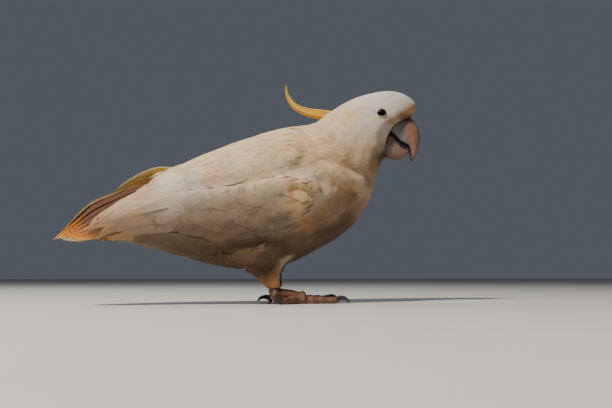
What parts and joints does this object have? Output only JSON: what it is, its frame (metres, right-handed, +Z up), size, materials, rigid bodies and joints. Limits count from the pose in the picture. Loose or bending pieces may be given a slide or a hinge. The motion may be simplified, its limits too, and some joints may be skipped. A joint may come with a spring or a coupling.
{
  "type": "life-size sulphur-crested cockatoo figure",
  "caption": "Still life-size cockatoo standing low with its head turned, folded wings and a folded crest that curls up at the back.",
  "frame": {"origin": "on the floor, under the middle of the bounding box", "axes": "+X from tail to bill along the body, +Y to the bird's left, +Z up"},
  "size_m": [0.3584, 0.114, 0.2261],
  "materials": {
    "plumage": "soft white body feathers with cream and tan stains",
    "flight": "smooth white flight feathers, washed yellow beneath",
    "tail": "white tail feathers stained orange",
    "crest": "sulphur yellow crest feathers",
    "bill": "worn grey-brown horn",
    "tongue": "dark grey, moist",
    "eye": "wet, near black",
    "thigh": "short cream and orange-brown feathers",
    "foot": "granular scaly skin, rusty brown",
    "claw": "dark horn"
  },
  "bodies": {
    "root": {"trunk": "plumage", "neck": "plumage", "head": "plumage", "bill_upper": "bill", "bill_lower": "bill", "tongue": "tongue", "crest": "crest", "eye_right": "eye", "wing_right_scapulars": "plumage", "wing_right_coverts": "plumage", "wing_right_secondaries": "flight", "wing_right_primaries": "flight", "leg_right_thigh": "thigh", "leg_right_shank": "foot", "leg_right_toe_1": "foot", "leg_right_claw_1": "claw", "leg_right_toe_2": "foot", "leg_right_claw_2": "claw", "leg_right_toe_3": "foot", "leg_right_claw_3": "claw", "leg_right_toe_4": "foot", "leg_right_claw_4": "claw", "eye_left": "eye", "wing_left_scapulars": "plumage", "wing_left_coverts": "plumage", "wing_left_secondaries": "flight", "wing_left_primaries": "flight", "leg_left_thigh": "thigh", "leg_left_shank": "foot", "leg_left_toe_1": "foot", "leg_left_claw_1": "claw", "leg_left_toe_2": "foot", "leg_left_claw_2": "claw", "leg_left_toe_3": "foot", "leg_left_claw_3": "claw", "leg_left_toe_4": "foot", "leg_left_claw_4": "claw", "tail": "tail"}
  },
  "joints": []
}
